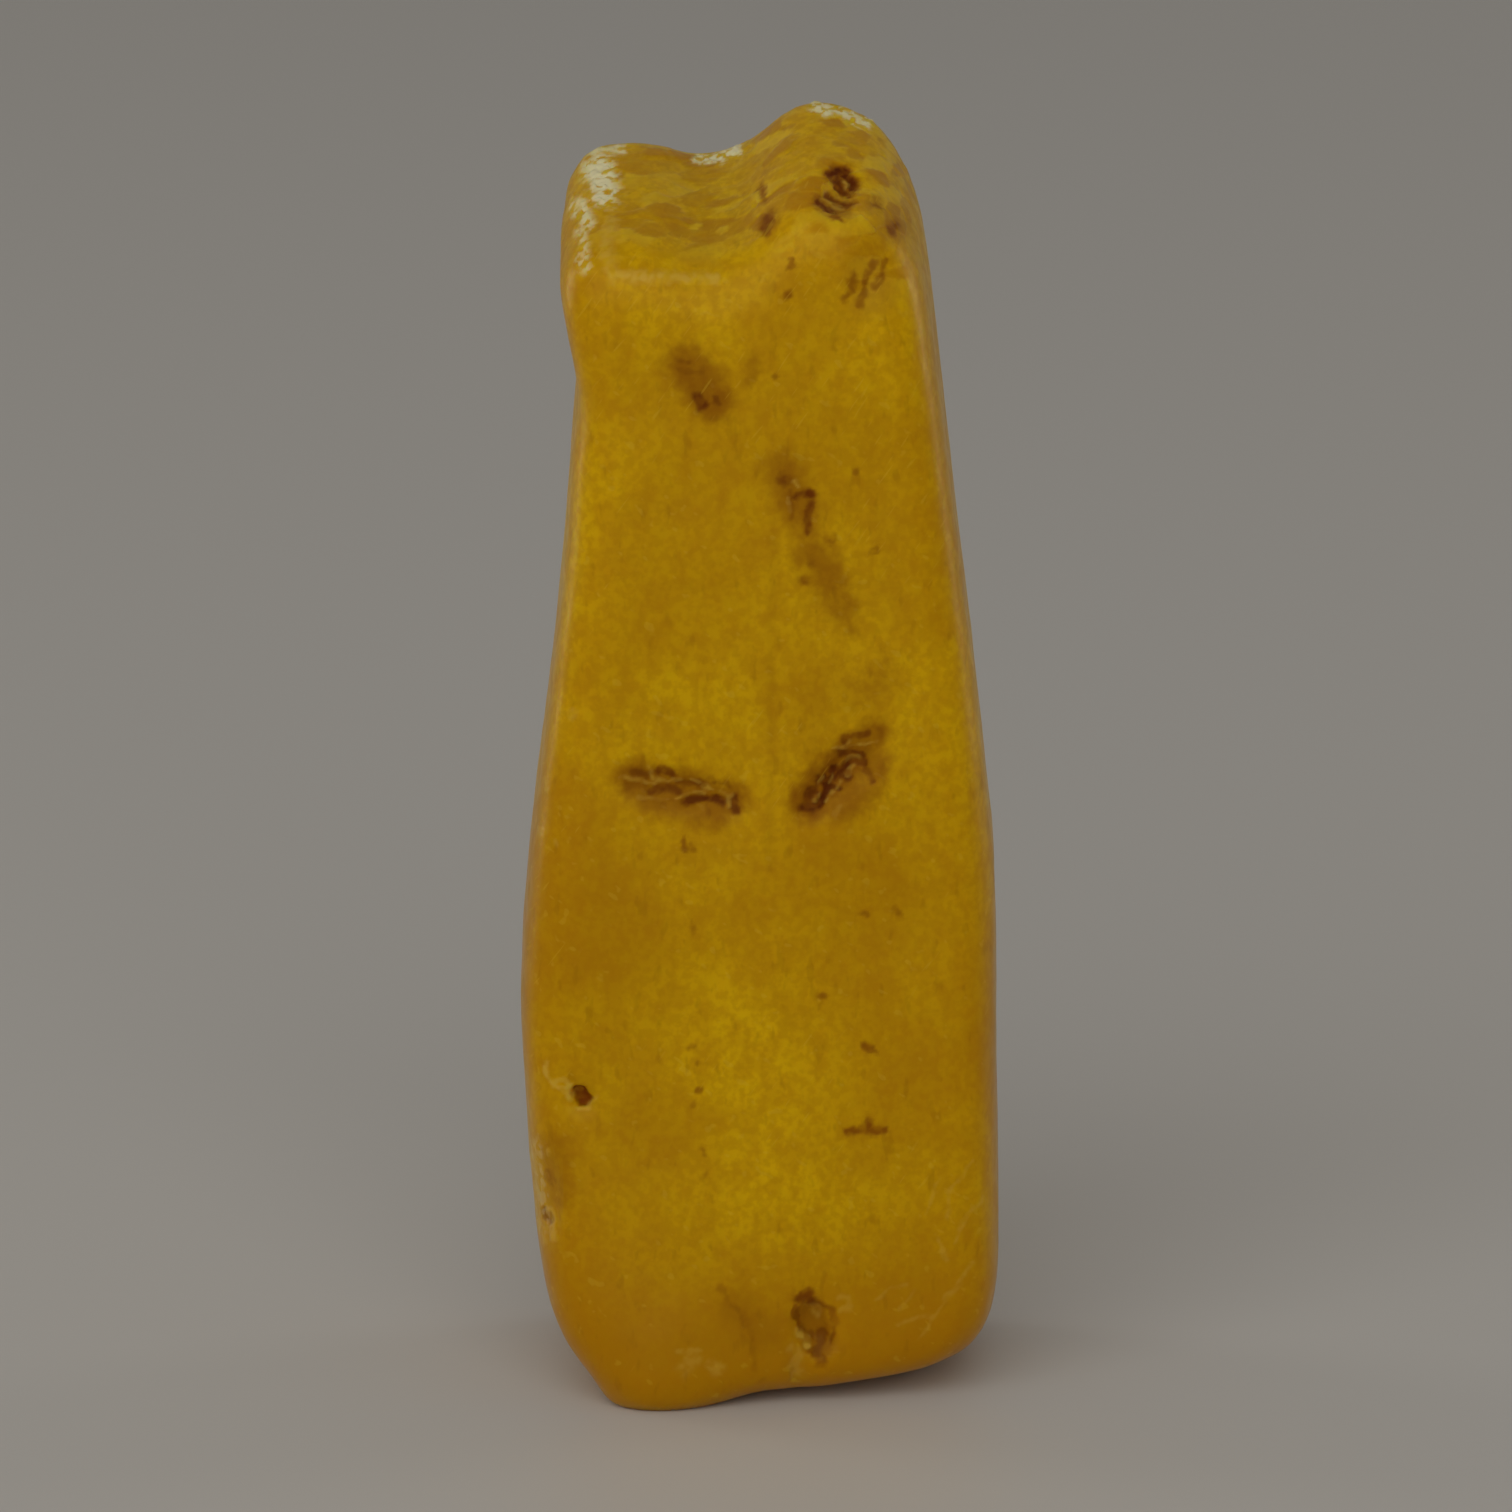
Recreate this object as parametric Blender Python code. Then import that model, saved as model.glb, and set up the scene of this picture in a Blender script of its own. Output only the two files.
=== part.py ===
"""A tumbled and polished piece of cloudy amber that stands on the flat of its foot.

Blender 4.5, metres, +Z up. The stone's broad front faces -Y. The origin is on the surface it
stands on, under the middle of its box. The shape is worked out in millimetres: a closed outline
seen from the front, a front face and a back face, all run into each other with rounded edges.
"""

import math
from typing import NamedTuple

import bmesh
import bpy
import numpy as np
from mathutils import Matrix, Vector, noise

MM = 0.001

# The outline from the front, as (across, up) in millimetres, from the foot's left corner clockwise
OUTLINE = [
    (-3.20, -0.42),
    (-4.18, 0.40),
    (-5.05, 1.75),
    (-5.45, 3.60),
    (-5.72, 7.00),
    (-5.82, 10.30),
    (-5.52, 14.00),
    (-5.02, 18.10),
    (-4.72, 21.40),
    (-4.54, 24.40),
    (-4.40, 26.60),
    (-4.70, 28.45),
    (-4.76, 29.48),
    (-4.15, 30.34),
    (-2.95, 30.51),
    (-2.25, 30.40),
    (-1.45, 30.17),
    (-0.45, 30.46),
    (0.10, 30.92),
    (0.88, 31.46),
    (1.80, 31.51),
    (2.80, 31.12),
    (3.48, 30.34),
    (3.94, 29.26),
    (4.23, 27.30),
    (4.66, 23.20),
    (5.08, 19.20),
    (5.52, 15.20),
    (5.74, 12.60),
    (5.80, 8.00),
    (5.88, 3.40),
    (5.78, 1.90),
    (5.34, 0.75),
    (4.30, 0.08),
    (2.75, -0.25),
    (0.40, -0.45),
]
OUTLINE_STEPS = 6

# The broad faces: how far each stands from the middle plane at the foot, and what it loses upwards
FRONT_DEPTH = 3.86
FRONT_TAPER = 0.045
BACK_DEPTH = 4.26
BACK_TAPER = 0.030
BACK_CROWN = 0.016
BACK_CROWN_ACROSS = -0.8

# A soft ridge runs up the front, and the front turns a little to the right
RIDGE_ACROSS = 0.5
RIDGE_FALL = 0.055
RIDGE_ROUND = 0.6
FRONT_SKEW = 0.035

# The rounded lobe at the foot's left stands proud of the front
LOBE_ACROSS = -2.7
LOBE_SIZE = (2.6, 4.0)
LOBE_PROUD = 0.66

# The flanks bulge a little, and every edge between a flank and a face is rounded
FLANK_CROWN = 0.020
EDGE_ROUND = 1.05

# The top slopes down towards the front, and the foot's right lifts at the front
TOP_SLOPE = 0.40
TOP_CREST_DEPTH = 3.15
TOP_SLOPE_SPAN = (17.0, 27.0)
FOOT_LIFT = 0.50
FOOT_LIFT_ACROSS = (-2.4, 0.4)
FOOT_LIFT_DEPTH = (-0.05, -2.65)
FOOT_LIFT_SPAN = (5.0, 1.0)

# Slow waves of the polished faces, as (size, height)
WAVES = [(5.5, 0.10), (2.2, 0.03)]


class Hollow(NamedTuple):
    """A pit or fissure of the front, placed as it is seen square on, in millimetres."""

    across: float
    up: float
    half_length: float
    half_width: float
    turn: float
    depth: float


HOLLOWS = {
    "top_pit": Hollow(1.90, 29.70, 0.55, 0.36, 30, 0.28),
    "top_streaks": Hollow(2.56, 27.85, 0.80, 0.45, 80, 0.08),
    "left_fissure": Hollow(-1.90, 15.40, 1.45, 0.50, -12, 0.18),
    "right_fissure": Hollow(2.00, 15.75, 1.35, 0.60, 43, 0.22),
    "left_edge_pit": Hollow(-4.32, 7.72, 0.38, 0.30, -35, 0.22),
    "left_edge_scar": Hollow(-5.16, 5.30, 1.30, 0.40, 93, 0.16),
    "foot_pit": Hollow(1.33, 2.05, 0.75, 0.50, 100, 0.30),
    "foot_groove": Hollow(0.95, 1.00, 0.75, 0.28, 88, 0.14),
}

# A hollow is level to this share of its half sizes, and its rim ends at this one
HOLLOW_FLOOR = 0.25
HOLLOW_RIM = 1.25

# The mesh is made finer this far beyond each hollow, once for each distance
REFINED_BEYOND = (0.9, 0.35)
FACES_FRONT = -0.1

# The mesh starts as a box of these cells, and each corner is then moved out to the surface
CELLS = (16, 9, 44)
BOX_HALF = (5.4, 3.7)
BOX_TAPER = (0.20, 0.22)
BOX_SPAN = (-0.3, 30.2)
SPINE_SPAN = (5.0, 25.5)
REACH = 3.0
HALVINGS = 26
NEAR = 0.02

SHARP_FROM = math.radians(50)
AMBER_COLOUR = (0.55, 0.27, 0.004, 1.0)
AMBER_ROUGHNESS = 0.28
AMBER_IOR = 1.54
AMBER_TRANSMISSION = 0.6


def clear_scene():
    for item in list(bpy.data.objects):
        bpy.data.objects.remove(item)


def smooth_loop(corners, steps):
    """A closed smooth curve through the corners, as points."""
    corners = np.array(corners)
    before, after, beyond = (np.roll(corners, shift, axis=0) for shift in (1, -1, -2))
    points = []
    for t in np.arange(steps) / steps:
        points.append(
            0.5
            * (
                2 * corners
                + (after - before) * t
                + (2 * before - 5 * corners + 4 * after - beyond) * t**2
                + (3 * corners - before - 3 * after + beyond) * t**3
            )
        )
    return np.stack(points, axis=1).reshape(-1, 2)


def loop_distance(loop, across, up):
    """How far each point is outside the loop, in its plane. It is negative inside."""
    start, end = loop, np.roll(loop, -1, axis=0)
    along = end - start
    gap_x = across[:, None] - start[:, 0]
    gap_z = up[:, None] - start[:, 1]
    share = (gap_x * along[:, 0] + gap_z * along[:, 1]) / (along**2).sum(axis=1)
    share = np.clip(share, 0, 1)
    gap = np.hypot(gap_x - share * along[:, 0], gap_z - share * along[:, 1]).min(axis=1)
    straddles = (start[:, 1] > up[:, None]) != (end[:, 1] > up[:, None])
    rise = np.where(along[:, 1] == 0, 1.0, along[:, 1])
    crossing = start[:, 0] + gap_z / rise * along[:, 0]
    inside = (straddles & (across[:, None] < crossing)).sum(axis=1) % 2 == 1
    return np.where(inside, -gap, gap)


def smooth_step(low, high, value):
    share = np.clip((value - low) / (high - low), 0, 1)
    return share * share * (3 - 2 * share)


def smooth_max(one, other, reach):
    """The larger of two distances, run into each other over the reach, which rounds the edge."""
    share = np.clip(0.5 + 0.5 * (one - other) / reach, 0, 1)
    return other + (one - other) * share + reach * share * (1 - share)


def front_of(across, up):
    """The depth of the front face, which is negative."""
    ridge = RIDGE_FALL * np.hypot(across - RIDGE_ACROSS, RIDGE_ROUND)
    lobe_x = (across - LOBE_ACROSS) / LOBE_SIZE[0]
    lobe = LOBE_PROUD * np.exp(-(lobe_x**2) - (up / LOBE_SIZE[1]) ** 2)
    return -(FRONT_DEPTH - FRONT_TAPER * up - FRONT_SKEW * across - ridge + lobe)


def back_of(across, up):
    """The depth of the back face."""
    return BACK_DEPTH - BACK_TAPER * up - BACK_CROWN * (across - BACK_CROWN_ACROSS) ** 2


def outside(points, loop):
    """About how far each point is outside the stone, before pits and waves."""
    across, depth, up = points.T
    ahead_of_crest = np.clip(TOP_CREST_DEPTH - depth, 0, None)
    drop = TOP_SLOPE * ahead_of_crest * smooth_step(*TOP_SLOPE_SPAN, up)
    lift = FOOT_LIFT * smooth_step(*FOOT_LIFT_ACROSS, across)
    lift = lift * smooth_step(*FOOT_LIFT_DEPTH, depth) * smooth_step(*FOOT_LIFT_SPAN, up)
    flank = loop_distance(loop, across, up + drop - lift) + FLANK_CROWN * depth**2
    face = np.maximum(front_of(across, up) - depth, depth - back_of(across, up))
    return smooth_max(face, flank, EDGE_ROUND)


def move_to_surface(verts, loop):
    """Moves each corner along its line from the stone's spine until it lies on the surface."""
    corners = np.array([vert.co[:] for vert in verts])
    feet = np.zeros_like(corners)
    feet[:, 2] = np.clip(corners[:, 2], *SPINE_SPAN)
    rays = corners - feet
    near = np.zeros(len(corners))
    far = np.full(len(corners), REACH)
    for _ in range(HALVINGS):
        middle = (near + far) / 2
        within = outside(feet + rays * middle[:, None], loop) < 0
        near = np.where(within, middle, near)
        far = np.where(within, far, middle)
    for vert, spot in zip(verts, feet + rays * near[:, None]):
        vert.co = spot


def box_of_cells():
    """A tapered box whose faces are cut into cells."""
    form = bmesh.new()
    bmesh.ops.create_cube(form, size=2.0)
    for axis, cells in enumerate(CELLS):
        normal = Vector((0, 0, 0))
        normal[axis] = 1.0
        for cut in range(1, cells):
            everything = form.verts[:] + form.edges[:] + form.faces[:]
            place = normal * (2.0 * cut / cells - 1.0)
            bmesh.ops.bisect_plane(form, geom=everything, plane_co=place, plane_no=normal)
    low, high = BOX_SPAN
    for vert in form.verts:
        share = (vert.co.z + 1) / 2
        vert.co.x *= BOX_HALF[0] * (1 - BOX_TAPER[0] * share)
        vert.co.y *= BOX_HALF[1] * (1 - BOX_TAPER[1] * share)
        vert.co.z = low + (high - low) * share
    return form


def hollow_gap(vert, hollow, margin=0.0):
    """How far a corner is from a hollow's middle, in half lengths and half widths."""
    x, z = vert.co.x - hollow.across, vert.co.z - hollow.up
    turn = math.radians(hollow.turn)
    along = x * math.cos(turn) + z * math.sin(turn)
    beside = z * math.cos(turn) - x * math.sin(turn)
    return math.hypot(along / (hollow.half_length + margin), beside / (hollow.half_width + margin))


def refine_hollows(form, loop):
    """Cuts the cells near the pits and fissures in two each way, and those closer in again."""
    for margin in REFINED_BEYOND:
        form.normal_update()
        close = set()
        for vert in form.verts:
            if vert.normal.y < FACES_FRONT:
                if min(hollow_gap(vert, hollow, margin) for hollow in HOLLOWS.values()) < 1:
                    close.add(vert)
        edges = [edge for edge in form.edges if set(edge.verts) <= close]
        bmesh.ops.subdivide_edges(form, edges=edges, cuts=1, use_grid_fill=True)
        bmesh.ops.triangulate(form, faces=[face for face in form.faces if len(face.verts) > 4])
        move_to_surface(form.verts[:], loop)


def wave_faces(form):
    """Gives the broad faces their slow waves, which leave the outline as it is."""
    form.normal_update()
    for vert in form.verts:
        height = sum(tall * noise.noise(vert.co / size) for size, tall in WAVES)
        vert.co.y += height * vert.normal.y


def press_hollows(form):
    """Presses the pits and fissures into the front."""
    form.normal_update()
    moves = {}
    for vert in form.verts:
        if vert.normal.y < FACES_FRONT:
            depths = [
                hollow.depth * (1 - smooth_step(HOLLOW_FLOOR, HOLLOW_RIM, hollow_gap(vert, hollow)))
                for hollow in HOLLOWS.values()
            ]
            moves[vert] = -vert.normal * float(max(depths))
    for vert, move in moves.items():
        vert.co += move


def cut_foot(form):
    """Cuts the foot flat at the surface that the stone stands on."""
    everything = form.verts[:] + form.edges[:] + form.faces[:]
    cut = bmesh.ops.bisect_plane(
        form,
        geom=everything,
        plane_co=(0, 0, 0),
        plane_no=(0, 0, 1),
        clear_inner=True,
    )
    rim = [item for item in cut["geom_cut"] if isinstance(item, bmesh.types.BMEdge)]
    bmesh.ops.holes_fill(form, edges=rim)
    bmesh.ops.remove_doubles(form, verts=form.verts[:], dist=NEAR)


def amber_material():
    material = bpy.data.materials.new("amber")
    material.use_nodes = True
    shader = material.node_tree.nodes["Principled BSDF"]
    shader.inputs["Base Color"].default_value = AMBER_COLOUR
    shader.inputs["Roughness"].default_value = AMBER_ROUGHNESS
    shader.inputs["Metallic"].default_value = 0.0
    shader.inputs["IOR"].default_value = AMBER_IOR
    shader.inputs["Transmission Weight"].default_value = AMBER_TRANSMISSION
    return material


def build_amber():
    loop = smooth_loop(OUTLINE, OUTLINE_STEPS)
    form = box_of_cells()
    move_to_surface(form.verts[:], loop)
    refine_hollows(form, loop)
    wave_faces(form)
    press_hollows(form)
    cut_foot(form)
    bmesh.ops.recalc_face_normals(form, faces=form.faces[:])
    mesh = bpy.data.meshes.new("amber")
    form.to_mesh(mesh)
    form.free()
    corners = np.array([vert.co[:] for vert in mesh.vertices])
    x, y, _ = (corners.min(axis=0) + corners.max(axis=0)) / 2
    mesh.transform(Matrix.Scale(MM, 4) @ Matrix.Translation((-x, -y, 0)))
    mesh.shade_smooth()
    mesh.set_sharp_from_angle(angle=SHARP_FROM)
    mesh.materials.append(amber_material())
    stone = bpy.data.objects.new("amber", mesh)
    bpy.context.scene.collection.objects.link(stone)
    return stone


clear_scene()
build_amber()
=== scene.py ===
"""The looks of a tumbled and polished piece of cloudy amber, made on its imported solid.

The stone is worked on in millimetres and handed over in metres. Its marks are placed as they are
seen from the camera: across and up, in millimetres, on a plane through the stone's middle.
"""

import math
from typing import NamedTuple

import bmesh
import bpy
import numpy as np
from mathutils import Matrix, Vector, noise
from mathutils.bvhtree import BVHTree
from mathutils.interpolate import poly_3d_calc


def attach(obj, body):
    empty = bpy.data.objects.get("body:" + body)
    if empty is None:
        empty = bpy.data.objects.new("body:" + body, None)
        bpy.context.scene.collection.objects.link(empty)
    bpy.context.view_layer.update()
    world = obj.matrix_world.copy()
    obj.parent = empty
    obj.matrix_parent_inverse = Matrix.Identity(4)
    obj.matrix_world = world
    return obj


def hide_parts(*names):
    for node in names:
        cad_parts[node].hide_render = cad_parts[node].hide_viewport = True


MM = 0.001

# Keeps the directions that chance gives to the facets the same in every run
NOISE_SEED = 1

# The camera looks down a little at the stone's broad front through a long lens
CAMERA_RISE = math.radians(15)
CAMERA_DISTANCE = 260.0
CAMERA_NEAREST = 10.0
SENSOR_WIDTH = 36.0
PICTURE_WIDTH = 36.88
MIDDLE_UP = 15.4
STONE_MIDDLE = Vector((0.0, 0.757, MIDDLE_UP))
AIM_OFFSET = (-0.11, -0.144)
TOWARDS_STONE = Vector((0, math.cos(CAMERA_RISE), -math.sin(CAMERA_RISE)))
PICTURE_UP = Vector((0, math.sin(CAMERA_RISE), math.cos(CAMERA_RISE)))
ORIGIN_UP = MIDDLE_UP * math.cos(CAMERA_RISE)

# The fine mesh: its cell, how often and how far it is smoothed, and what counts as facing the camera
MERGE_WITHIN = 0.001
CELL = 0.17
SMOOTHINGS = 4
SMOOTHING = 0.5
FACES_CAMERA = 0.12


class Drift(NamedTuple):
    """Smooth noise: the size of its features, and a shift that sets it apart from the others."""

    size: float
    shift: float = 0.0


# A mark's edge and its course wander by this much
EDGE_WANDER = 0.08
EDGE_DRIFT = Drift(0.26)
FINE_EDGE_SHARE = 0.5
FINE_EDGE_DRIFT = Drift(EDGE_DRIFT.size / 3, 7.0)
COURSE_WANDER = 0.08
COURSE_DRIFTS = [Drift(0.34, 11.0), Drift(0.34, 17.0)]

# Marks are broken up: they lose these shares of their strength where the noise is low
BREAK_DRIFT = Drift(0.16, 23.0)
BREAK_SPAN = (-0.40, 0.15)
BREAK_SHARES = {"dark": 0.4, "pale": 0.7}


class Mark(NamedTuple):
    """A stroke through points, each (across, up), with its half width and its strength.

    Soft is how much of the half width its edge fades over, and depth is how deep it is pressed in.
    """

    points: list
    half_width: float
    strength: float
    soft: float = 0.5
    depth: float = 0.0


# Brown stains that lie in the stone, from the top down
STAINS = [
    # Round the pit in the top
    Mark([(1.86, 28.90), (2.12, 28.68)], 0.26, 0.75, 0.5, 0.05),
    Mark([(1.54, 28.30), (2.04, 28.04)], 0.24, 0.45, 0.5, 0.03),
    Mark([(0.22, 27.84), (0.10, 27.58)], 0.20, 0.45, 0.6),
    # On the right shoulder
    Mark([(2.57, 26.90), (2.72, 26.10)], 0.52, 0.26, 0.9),
    Mark([(3.23, 27.61)], 0.42, 0.38, 0.8),
    Mark([(2.82, 28.17)], 0.20, 0.60, 0.8),
    # The upper blots
    Mark([(-1.80, 24.26), (-1.22, 23.46)], 0.54, 0.62, 0.5),
    Mark([(-0.18, 24.39), (-0.26, 23.90)], 0.16, 0.32, 0.8),
    # The upper crack and the long blot below it
    Mark([(0.52, 21.71), (0.96, 20.73)], 0.46, 0.50, 0.8),
    Mark([(1.30, 19.61), (1.76, 18.94)], 0.46, 0.52, 0.8),
    Mark([(1.76, 18.94), (2.04, 18.30)], 0.34, 0.50, 0.9),
    Mark([(2.04, 18.60), (2.22, 17.80)], 0.16, 0.34, 0.9),
    Mark([(1.15, 20.10), (1.45, 19.50)], 0.30, 0.35, 0.9),
    # The left fissure
    Mark([(-3.12, 14.18), (-1.96, 13.98), (-0.74, 13.62)], 0.42, 0.66, 0.5, 0.02),
    Mark([(-3.02, 14.26), (-2.30, 14.24)], 0.24, 0.55, 0.5),
    Mark([(-1.75, 13.62), (-0.72, 13.52)], 0.24, 0.60, 0.5),
    Mark([(-2.70, 13.74), (-1.10, 13.32)], 0.36, 0.62, 0.8),
    # The right fissure
    Mark([(1.20, 13.60), (1.74, 14.20), (2.20, 14.66)], 0.50, 0.80, 0.5, 0.02),
    Mark([(2.20, 14.70), (2.74, 15.22)], 0.40, 0.62, 0.6, 0.02),
    Mark([(1.14, 13.52), (1.72, 14.12), (2.10, 14.44)], 0.30, 0.70, 0.4, 0.02),
    Mark([(2.00, 13.56), (2.56, 14.04), (2.80, 14.56)], 0.42, 0.54, 0.6),
    Mark([(2.62, 13.62), (2.98, 14.20)], 0.10, 0.40, 0.8),
    # Clouds above it
    Mark([(1.20, 15.20), (1.80, 16.40)], 0.60, 0.10, 0.9),
    Mark([(2.40, 16.10), (2.90, 16.60)], 0.45, 0.22, 0.9),
    # The scar on the left edge
    Mark([(-4.95, 5.20), (-4.80, 4.05)], 0.34, 0.30, 0.9),
    # The pit in the foot and the flesh beside it
    Mark([(1.22, 1.05), (1.46, 0.40)], 0.36, 0.46, 0.5, 0.05),
    Mark([(-0.45, 1.05), (0.72, 0.93)], 0.20, 0.14, 0.9),
    Mark([(-0.55, 1.25), (0.15, 0.65)], 0.42, 0.20, 0.9),
    # A faint line down the middle
    Mark([(0.33, 22.40), (0.26, 17.00), (0.22, 12.00)], 0.11, 0.10, 0.9),
]

# Dark red-brown pits, cracks and specks
DARKS = [
    # The pit in the top
    Mark([(1.72, 28.96), (2.00, 29.02), (2.22, 28.82), (2.26, 28.60)], 0.10, 0.95, 0.7, 0.02),
    Mark([(1.88, 28.82), (1.92, 28.60), (2.14, 28.44)], 0.09, 0.66, 0.7, 0.02),
    Mark([(1.58, 28.42), (2.06, 28.18), (2.30, 28.30)], 0.07, 0.70, 0.7, 0.01),
    Mark([(1.42, 28.26), (1.84, 28.00)], 0.07, 0.80, 0.7, 0.01),
    Mark([(1.72, 27.96), (1.98, 27.84)], 0.06, 0.60, 0.7, 0.01),
    # Streaks and specks on the right shoulder
    Mark([(2.76, 26.78), (2.53, 26.27)], 0.08, 0.50, 0.8),
    Mark([(3.05, 26.83), (2.81, 26.17)], 0.08, 0.50, 0.8),
    Mark([(2.28, 26.42), (2.10, 25.91)], 0.10, 0.56, 0.8),
    Mark([(2.55, 26.09), (2.41, 25.73)], 0.08, 0.46, 0.8),
    Mark([(3.23, 27.61)], 0.12, 0.60, 0.8),
    Mark([(2.82, 28.17), (2.90, 28.14)], 0.07, 0.51, 0.7),
    # Flecks left of the pit and below it
    Mark([(0.04, 28.59), (0.06, 28.39)], 0.10, 0.72, 0.7, 0.01),
    Mark([(0.23, 27.85), (0.13, 27.54)], 0.12, 0.50, 0.7, 0.01),
    Mark([(0.74, 26.78), (0.72, 26.66)], 0.08, 0.65, 0.8),
    Mark([(0.72, 26.07), (0.74, 25.95)], 0.08, 0.65, 0.8),
    # The upper blots
    Mark([(-1.55, 23.46), (-1.42, 23.27)], 0.12, 0.85, 0.7, 0.01),
    Mark([(-1.12, 23.49), (-1.09, 23.32)], 0.07, 0.55, 0.7),
    Mark([(-2.02, 24.39), (-1.74, 24.36)], 0.07, 0.32, 0.8),
    Mark([(-2.00, 24.10), (-1.46, 24.07)], 0.07, 0.32, 0.8),
    # The upper crack and the specks near it
    Mark([(0.57, 21.44)], 0.14, 0.58, 0.7),
    Mark([(0.89, 21.08), (1.23, 21.14)], 0.11, 0.95, 0.7, 0.01),
    Mark([(1.18, 20.88), (1.13, 20.20)], 0.09, 0.70, 0.7, 0.01),
    Mark([(0.72, 21.20), (0.76, 20.50)], 0.07, 0.32, 0.8),
    Mark([(1.23, 19.44)], 0.11, 0.32, 0.9),
    Mark([(1.72, 19.98)], 0.11, 0.62, 0.9),
    Mark([(1.09, 19.05)], 0.10, 0.45, 0.9),
    Mark([(2.33, 21.68)], 0.08, 0.44, 0.7),
    Mark([(0.30, 24.00)], 0.07, 0.46, 0.7),
    Mark([(2.70, 19.76), (2.80, 19.76)], 0.07, 0.37, 0.7),
    # The left fissure
    Mark([(-3.09, 14.29), (-2.74, 14.31)], 0.09, 0.42, 0.7, 0.01),
    Mark([(-3.30, 14.02), (-3.00, 14.00)], 0.07, 0.18, 0.7, 0.01),
    Mark([(-2.43, 14.37), (-2.11, 14.31)], 0.10, 0.60, 0.7, 0.01),
    Mark([(-2.66, 13.86), (-2.36, 13.95), (-2.01, 13.88)], 0.10, 0.60, 0.7, 0.01),
    Mark([(-1.98, 14.06), (-1.46, 14.08)], 0.09, 0.46, 0.7, 0.01),
    Mark([(-1.86, 13.60), (-1.33, 13.70), (-0.92, 13.60)], 0.10, 0.87, 0.7, 0.03),
    Mark([(-1.10, 14.10), (-0.78, 13.98)], 0.07, 0.37, 0.7),
    Mark([(-0.65, 13.68), (-0.62, 13.37)], 0.08, 0.74, 0.7, 0.01),
    # The right fissure
    Mark([(1.07, 13.47), (1.40, 13.55)], 0.12, 0.87, 0.7, 0.03),
    Mark([(1.14, 13.72), (1.30, 13.94), (1.44, 14.10)], 0.10, 0.66, 0.7, 0.03),
    Mark([(1.48, 13.62), (1.66, 13.96)], 0.10, 1.00, 0.7, 0.03),
    Mark([(1.62, 14.00), (1.84, 14.39)], 0.10, 0.90, 0.7, 0.03),
    Mark([(1.86, 14.18), (2.13, 14.46)], 0.10, 0.87, 0.7, 0.03),
    Mark([(1.28, 13.92), (1.62, 13.70)], 0.07, 0.70, 0.7, 0.01),
    Mark([(1.54, 14.18), (1.88, 13.96)], 0.07, 0.80, 0.7, 0.01),
    Mark([(1.80, 14.44), (2.12, 14.20)], 0.07, 0.70, 0.7, 0.01),
    Mark([(2.16, 14.54), (2.48, 14.60)], 0.09, 0.56, 0.7, 0.02),
    Mark([(1.94, 14.82), (2.43, 14.76)], 0.07, 0.64, 0.7, 0.01),
    Mark([(2.09, 15.12), (2.57, 15.26)], 0.08, 0.55, 0.7, 0.01),
    Mark([(2.57, 14.39), (2.72, 14.15)], 0.07, 0.55, 0.7, 0.01),
    Mark([(2.88, 15.46), (2.90, 15.20)], 0.07, 0.14, 0.8),
    # A fleck below the left fissure
    Mark([(-1.89, 12.65), (-1.87, 12.50)], 0.08, 0.55, 0.7, 0.01),
    # The pit and the scar on the left edge
    Mark([(-4.42, 6.54), (-4.28, 6.32)], 0.14, 1.00, 0.6, 0.12),
    Mark([(-5.26, 3.66), (-5.13, 3.37)], 0.07, 0.75, 0.7, 0.02),
    Mark([(-5.20, 4.60), (-5.10, 4.30)], 0.07, 0.32, 0.8),
    # Flecks low on the right
    Mark([(2.16, 5.56), (2.48, 5.64), (3.06, 5.58)], 0.10, 0.70, 0.7, 0.01),
    Mark([(2.60, 5.80), (2.62, 5.66)], 0.09, 0.68, 0.7, 0.01),
    Mark([(2.56, 7.62), (2.74, 7.57)], 0.09, 0.66, 0.7, 0.01),
    Mark([(1.50, 8.90)], 0.08, 0.50, 0.7),
    # Specks low on the left
    Mark([(-1.48, 6.56)], 0.10, 0.92, 0.7),
    Mark([(-1.55, 7.22)], 0.07, 0.41, 0.7),
    Mark([(-1.72, 7.62), (-1.60, 7.68)], 0.07, 0.36, 0.8),
    Mark([(-1.64, 6.20)], 0.08, 0.32, 0.8),
    Mark([(-1.44, 5.12), (-1.40, 4.98)], 0.07, 0.34, 0.8),
    Mark([(-1.36, 4.60), (-1.40, 4.44)], 0.07, 0.34, 0.8),
    Mark([(-1.66, 10.70), (-1.68, 10.45)], 0.07, 0.32, 0.8),
    # Specks below the fissures
    Mark([(2.53, 10.95), (2.62, 10.90)], 0.08, 0.46, 0.7),
    Mark([(3.28, 11.05), (3.42, 10.93)], 0.08, 0.41, 0.8),
    Mark([(-1.72, 12.56), (-1.62, 12.50)], 0.07, 0.37, 0.8),
    # The pit in the foot
    Mark([(0.98, 1.48), (1.14, 1.64), (1.26, 1.48)], 0.14, 0.72, 0.7, 0.03),
    Mark([(1.34, 1.50), (1.72, 1.26), (1.82, 0.90), (1.66, 0.40)], 0.07, 0.42, 0.7, 0.02),
    Mark([(0.92, 1.40), (0.84, 1.10), (1.04, 0.78), (1.28, 0.62)], 0.07, 0.30, 0.7, 0.02),
    Mark([(1.50, 0.62), (1.34, 0.20), (1.44, -0.05)], 0.12, 0.48, 0.7, 0.02),
    # The crack left of it
    Mark([(-0.98, 1.80), (-0.80, 1.40), (-0.46, 1.14), (-0.40, 0.83)], 0.07, 0.26, 0.9),
    Mark([(-0.45, 1.17), (-0.21, 0.59), (-0.16, -0.20)], 0.06, 0.18, 0.9),
]

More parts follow.
